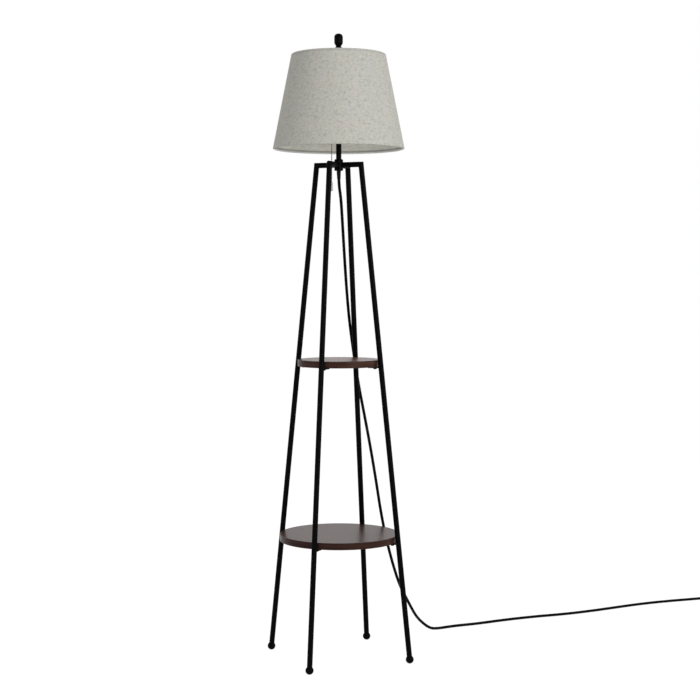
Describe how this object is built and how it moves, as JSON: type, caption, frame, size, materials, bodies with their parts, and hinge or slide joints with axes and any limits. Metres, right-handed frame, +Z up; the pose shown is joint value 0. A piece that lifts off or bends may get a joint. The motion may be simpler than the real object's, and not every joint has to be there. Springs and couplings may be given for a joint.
{
  "type": "shelf floor lamp",
  "caption": "Floor lamp on a black four-legged tube frame with round dark wood shelves between the legs, a pull-chain holder and an empire linen shade",
  "frame": {"origin": "on the floor, under the lamp's axis", "axes": "+Z up; the legs stand on the X and Y axes, right leg +X, back leg +Y"},
  "size_m": [1.0267, 1.2049, 1.48],
  "materials": {
    "black_steel": "satin black powder coat",
    "dark_wood": "dark espresso stain under a satin lacquer",
    "zinc_steel": "bright zinc plate",
    "black_phenolic": "moulded black, semi-gloss",
    "paper_sleeve": "dark fibre sleeve",
    "brass_shell": "plain pressed brass",
    "nickel_chain": "nickel plate",
    "black_cord": "soft matte vinyl",
    "copper_lead": "insulated wire",
    "linen": "oatmeal linen weave",
    "styrene_liner": "off-white styrene sheet",
    "white_wire": "white coated wire",
    "bulb_glass": "frosted",
    "bulb_cap": "plain aluminium",
    "wire_tie": "matte strip"
  },
  "bodies": {
    "lamp_frame": {"arm_back": "black_steel", "arm_front": "black_steel", "arm_left": "black_steel", "arm_right": "black_steel", "centre_contact": "brass_shell", "chain_bell": "black_steel", "cord_bushing": "black_phenolic", "cord_coil": "black_cord", "cord_tie": "wire_tie", "cord_tube": "black_cord", "foot_back": "black_steel", "foot_front": "black_steel", "foot_left": "black_steel", "foot_right": "black_steel", "harp_saddle": "black_steel", "hub": "black_steel", "inner_lead": "copper_lead", "leg_couplers": "zinc_steel", "leg_lower_back": "black_steel", "leg_lower_front": "black_steel", "leg_lower_left": "black_steel", "leg_lower_right": "black_steel", "leg_upper_back": "black_steel", "leg_upper_front": "black_steel", "leg_upper_left": "black_steel", "leg_upper_right": "black_steel", "lower_shelf": "dark_wood", "lower_shelf_screws": "black_steel", "lower_shelf_tabs": "black_steel", "pipe_nuts": "zinc_steel", "plug_blades": "brass_shell", "plug_body": "black_cord", "screw_shell": "brass_shell", "socket_cap": "black_steel", "socket_insulator": "paper_sleeve", "socket_shell": "black_steel", "stem_tube": "black_steel", "switch_body": "black_phenolic", "terminal_screws": "brass_shell", "threaded_pipe": "zinc_steel", "upper_shelf": "dark_wood", "upper_shelf_screws": "black_steel", "upper_shelf_tabs": "black_steel"},
    "harp": {"harp_wire": "black_steel", "harp_top_stud": "black_steel"},
    "ferrule_left": {"harp_ferrule_left": "black_steel"},
    "ferrule_right": {"harp_ferrule_right": "black_steel"},
    "shade": {"shade_fabric": "linen", "shade_liner": "styrene_liner", "shade_top_ring": "white_wire", "shade_bottom_ring": "white_wire", "shade_spider": "white_wire"},
    "finial_knob": {"finial": "black_steel"},
    "bulb": {"bulb_glass": "bulb_glass", "bulb_base": "bulb_cap"},
    "switch_pull": {"switch_link": "nickel_chain"},
    "chain": {"pull_chain": "nickel_chain", "chain_pendant": "nickel_chain"}
  },
  "joints": [
    {"name": "harp_lift", "type": "slide", "parent": "lamp_frame", "child": "harp", "axis": [0, 0, 1], "range_m": [0, 0.014]},
    {"name": "ferrule_left_lift", "type": "slide", "parent": "harp", "child": "ferrule_left", "axis": [0, 0, 1], "range_m": [0, 0.012]},
    {"name": "ferrule_right_lift", "type": "slide", "parent": "harp", "child": "ferrule_right", "axis": [0, 0, 1], "range_m": [0, 0.012]},
    {"name": "shade_turn", "type": "hinge", "parent": "harp", "child": "shade", "pos_m": [0, 0, 1.4205], "axis": [0, 0, 1], "continuous": true},
    {"name": "finial_turn", "type": "hinge", "parent": "harp", "child": "finial_knob", "pos_m": [0, 0, 1.4216], "axis": [0, 0, 1], "continuous": true},
    {"name": "bulb_turn", "type": "hinge", "parent": "lamp_frame", "child": "bulb", "pos_m": [0, 0, 1.2794], "axis": [0, 0, 1], "continuous": true},
    {"name": "chain_pull", "type": "slide", "parent": "lamp_frame", "child": "switch_pull", "axis": [0, 0, -1], "range_m": [0, 0.008], "stiffness_N_per_m": 400, "springref_m": -0.003},
    {"name": "chain_swing", "type": "hinge", "parent": "switch_pull", "child": "chain", "pos_m": [-0.00985, -0.01967, 1.2514], "axis": [-0.8941, 0.4478, 0], "range_deg": [-1, 30]}
  ]
}
